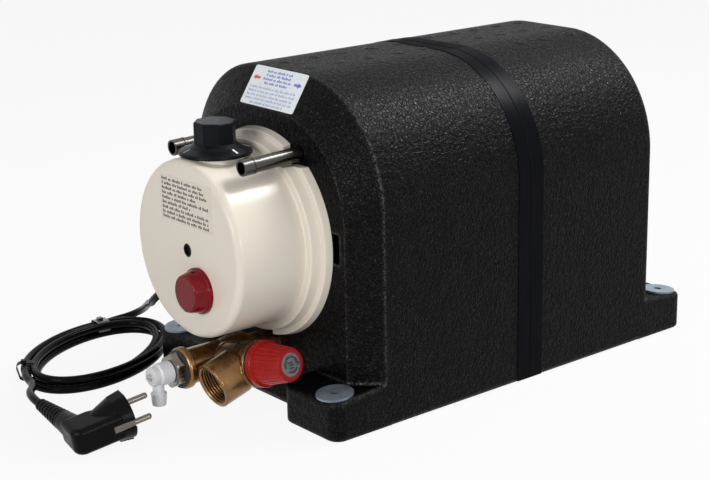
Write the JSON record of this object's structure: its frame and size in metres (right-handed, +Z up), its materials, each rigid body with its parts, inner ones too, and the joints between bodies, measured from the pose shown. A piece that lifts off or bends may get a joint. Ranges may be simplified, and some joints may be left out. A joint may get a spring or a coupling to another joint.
{
  "type": "water heater",
  "caption": "Foam-clad electric water heater for a caravan, with a round control cover, thermostat knob, drain and relief valve, and a mains lead laid in a coil.",
  "frame": {"origin": "centre of the four fixing holes of the feet, on the floor", "axes": "+Z up, the control end faces -Y, +X to the right seen from the control end"},
  "size_m": [0.3614, 0.5727, 0.2714],
  "materials": {
    "foam": "moulded bead foam, semi-gloss, dimpled",
    "tape": "satin tape",
    "washer": "zinc plated, dull",
    "stainless": "drawn tube, satin",
    "rubber": "black",
    "copper": "drawn",
    "steel": "plain",
    "cover": "cream, gloss",
    "black_plastic": "fine grained",
    "moulding": "moulded",
    "red_lens": "red, clear gloss",
    "lamp_glass": "clear",
    "brass": "cast, tumbled",
    "chrome": "polished",
    "red_cap": "semi-gloss",
    "grey_disc": "printed",
    "white_nozzle": "satin",
    "cord": "satin sheath",
    "tie_clear": "translucent",
    "tie_dark": "gloss",
    "plug": "fine grained",
    "pins": "nickel plated"
  },
  "bodies": {
    "heater": {"front_shell": "foam", "rear_shell": "foam", "seam_tape": "tape", "foot_washer_front_left": "washer", "foot_washer_front_right": "washer", "foot_washer_rear_left": "washer", "foot_washer_rear_right": "washer", "tank": "stainless", "tank_flange_ring": "stainless", "flange_gasket": "rubber", "flange_plate": "stainless", "flange_bolts": "steel", "heating_element": "copper", "sensor_pocket": "stainless", "sensing_capillary": "copper", "hot_outlet_pipe": "stainless", "cold_inlet_pipe": "stainless", "cover": "cover", "thermostat_body": "moulding", "thermal_cutout": "black_plastic", "lamp_lens": "red_lens", "lamp_holder": "black_plastic", "neon_lamp": "lamp_glass", "mounting_bracket": "steel", "terminal_block": "moulding", "cable_gland": "black_plastic", "drain_fitting": "brass", "valve_body": "brass", "bonnet_seal": "rubber", "relief_bonnet": "brass", "relief_spring": "steel", "vent_collar": "brass", "vent_gasket": "rubber", "vent_plug": "chrome", "cord_coil": "cord", "cord_tie_clear": "tie_clear", "cord_tie_dark": "tie_dark", "plug_body": "plug", "plug_pins": "pins", "plug_earth_clips": "brass", "plug_strain_relief": "plug", "power_cord": "cord", "plug_lead": "cord"},
    "control_knob": {"knob": "black_plastic", "thermostat_shaft": "steel"},
    "reset_button": {"reset_button": "black_plastic"},
    "relief_cap": {"relief_cap": "red_cap", "relief_cap_disc": "grey_disc"},
    "relief_stem": {"relief_stem": "brass"},
    "vent_nozzle": {"vent_nozzle": "white_nozzle"},
    "vent_spindle": {"vent_spindle": "steel"}
  },
  "joints": [
    {"name": "knob_turn", "type": "hinge", "parent": "heater", "child": "control_knob", "pos_m": [0, -0.2186, 0.2125], "axis": [0, 0, 1], "range_deg": [0, 280]},
    {"name": "reset_press", "type": "slide", "parent": "heater", "child": "reset_button", "axis": [0, 1, 0], "range_m": [0, 0.0016], "stiffness_N_per_m": 800},
    {"name": "relief_cap_turn", "type": "hinge", "parent": "heater", "child": "relief_cap", "pos_m": [0.04952, -0.21685, 0.04949], "axis": [0.9691, 0.1087, 0.2215], "continuous": true},
    {"name": "relief_lift", "type": "slide", "parent": "heater", "child": "relief_stem", "axis": [0.9691, 0.1087, 0.2215], "range_m": [0, 0.0018], "stiffness_N_per_m": 8000},
    {"name": "nozzle_swivel", "type": "hinge", "parent": "heater", "child": "vent_nozzle", "pos_m": [0, -0.28, 0.043], "axis": [0, -1, 0], "continuous": true},
    {"name": "spindle_turn", "type": "hinge", "parent": "heater", "child": "vent_spindle", "pos_m": [0, -0.28, 0.043], "axis": [0, -1, 0], "range_deg": [0, 360]}
  ]
}
